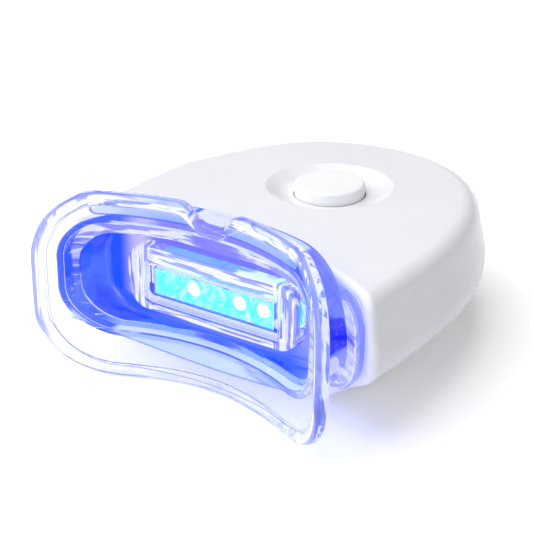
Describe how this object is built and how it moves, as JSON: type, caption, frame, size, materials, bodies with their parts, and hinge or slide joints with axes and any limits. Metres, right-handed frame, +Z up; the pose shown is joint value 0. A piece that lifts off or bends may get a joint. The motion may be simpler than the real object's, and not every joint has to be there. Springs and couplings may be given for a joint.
{
  "type": "teeth whitening lamp",
  "caption": "Hand-held teeth whitening lamp with a clear curved mouthpiece, a light window, a round push button and a twist-off battery lid.",
  "frame": {"origin": "centre of the bounding box at the surface the lamp stands on", "axes": "+X to the user's right-hand side of the lamp seen from above with the mouthpiece towards -Y, +Y from mouthpiece to tail, +Z up"},
  "size_m": [0.0566, 0.0648, 0.0295],
  "materials": {
    "clear_plastic": "polished",
    "clear_lens": "polished",
    "nose_plastic": "satin",
    "housing_white": "glossy",
    "button_white": "satin",
    "reflector_metal": "polished",
    "lamp_glass": "polished",
    "board_green": "satin",
    "lead_red": "matte",
    "lead_black": "matte",
    "black_plastic": "matte",
    "white_plastic": "matte",
    "can_aluminium": "satin",
    "steel": "brushed",
    "contact_brass": "satin",
    "seal_rubber": "matte"
  },
  "bodies": {
    "lamp": {"nose_housing": "nose_plastic", "nose_lens": "clear_lens", "reflector": "reflector_metal", "leds": "lamp_glass", "led_board": "board_green", "lead_red": "lead_red", "lead_black": "lead_black", "upper_housing": "housing_white", "lower_housing": "housing_white", "switch_body": "black_plastic", "main_board": "board_green", "timer_chip": "black_plastic", "buzzer": "black_plastic", "capacitor": "can_aluminium", "resistors": "black_plastic", "coin_cell_lower": "steel", "coin_cell_upper": "steel", "contact_negative": "contact_brass", "contact_positive": "contact_brass", "lid_seal": "seal_rubber", "housing_screws": "steel", "board_screws": "steel"},
    "mouthpiece": {"mouthpiece": "clear_plastic"},
    "button": {"button_cap": "button_white", "switch_plunger": "white_plastic"},
    "battery_lid": {"battery_lid": "housing_white"}
  },
  "joints": [
    {"name": "button_press", "type": "slide", "parent": "lamp", "child": "button", "axis": [0, -0.0611, -0.9981], "range_m": [0, 0.001], "stiffness_N_per_m": 1500},
    {"name": "battery_lid_turn", "type": "hinge", "parent": "lamp", "child": "battery_lid", "pos_m": [0, 0.00326, 0.00198], "axis": [0, 0.0611, 0.9981], "range_deg": [0, 40]},
    {"name": "mouthpiece_pull", "type": "slide", "parent": "lamp", "child": "mouthpiece", "axis": [0, -0.9981, 0.0611], "range_m": [0, 0.009]}
  ]
}
